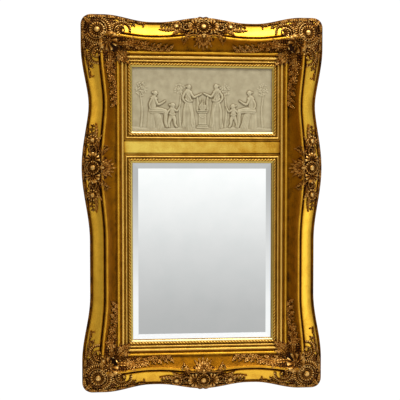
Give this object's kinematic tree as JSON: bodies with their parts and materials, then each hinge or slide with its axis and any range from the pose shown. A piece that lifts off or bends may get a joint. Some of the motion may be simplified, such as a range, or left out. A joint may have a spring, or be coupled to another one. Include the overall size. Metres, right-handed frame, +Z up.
{
  "type": "wall mirror",
  "caption": "Upright gilt wall mirror: a bevelled plate under a relief plaque in one deep swept frame with leaf and shell ornaments at the corners and middles.",
  "frame": {"origin": "middle of the back, on the plane that lies against the wall", "axes": "+X to the viewer's right, +Y into the wall, +Z up; the face looks along -Y"},
  "size_m": [0.6674, 0.0607, 1.0322],
  "materials": {
    "burnished_gilding": "metal leaf, burnished, over gessoed wood",
    "antique_gilding": "moulded composition, gilded and toned brown in the hollows",
    "silvered_glass": "silvered plate with a ground and polished bevel",
    "cast_stone": "matt cast relief with a warm wash in the hollows",
    "backing_board": "plain board"
  },
  "bodies": {
    "root": {"moulding_top": "burnished_gilding", "moulding_bottom": "burnished_gilding", "moulding_left": "burnished_gilding", "moulding_right": "burnished_gilding", "liner_top": "burnished_gilding", "liner_bottom": "burnished_gilding", "liner_left": "burnished_gilding", "liner_right": "burnished_gilding", "plaque_sight_top": "burnished_gilding", "plaque_sight_bottom": "burnished_gilding", "plaque_sight_left": "burnished_gilding", "plaque_sight_right": "burnished_gilding", "mirror_sight_top": "burnished_gilding", "mirror_sight_bottom": "burnished_gilding", "mirror_sight_left": "burnished_gilding", "mirror_sight_right": "burnished_gilding", "crossbar": "burnished_gilding", "corner_ornament_top_left": "antique_gilding", "corner_ornament_top_right": "antique_gilding", "corner_ornament_bottom_left": "antique_gilding", "corner_ornament_bottom_right": "antique_gilding", "centre_ornament_top": "antique_gilding", "centre_ornament_bottom": "antique_gilding", "centre_ornament_left": "antique_gilding", "centre_ornament_right": "antique_gilding", "mirror_plate": "silvered_glass", "relief_plaque": "cast_stone", "backboard": "backing_board"}
  },
  "joints": []
}
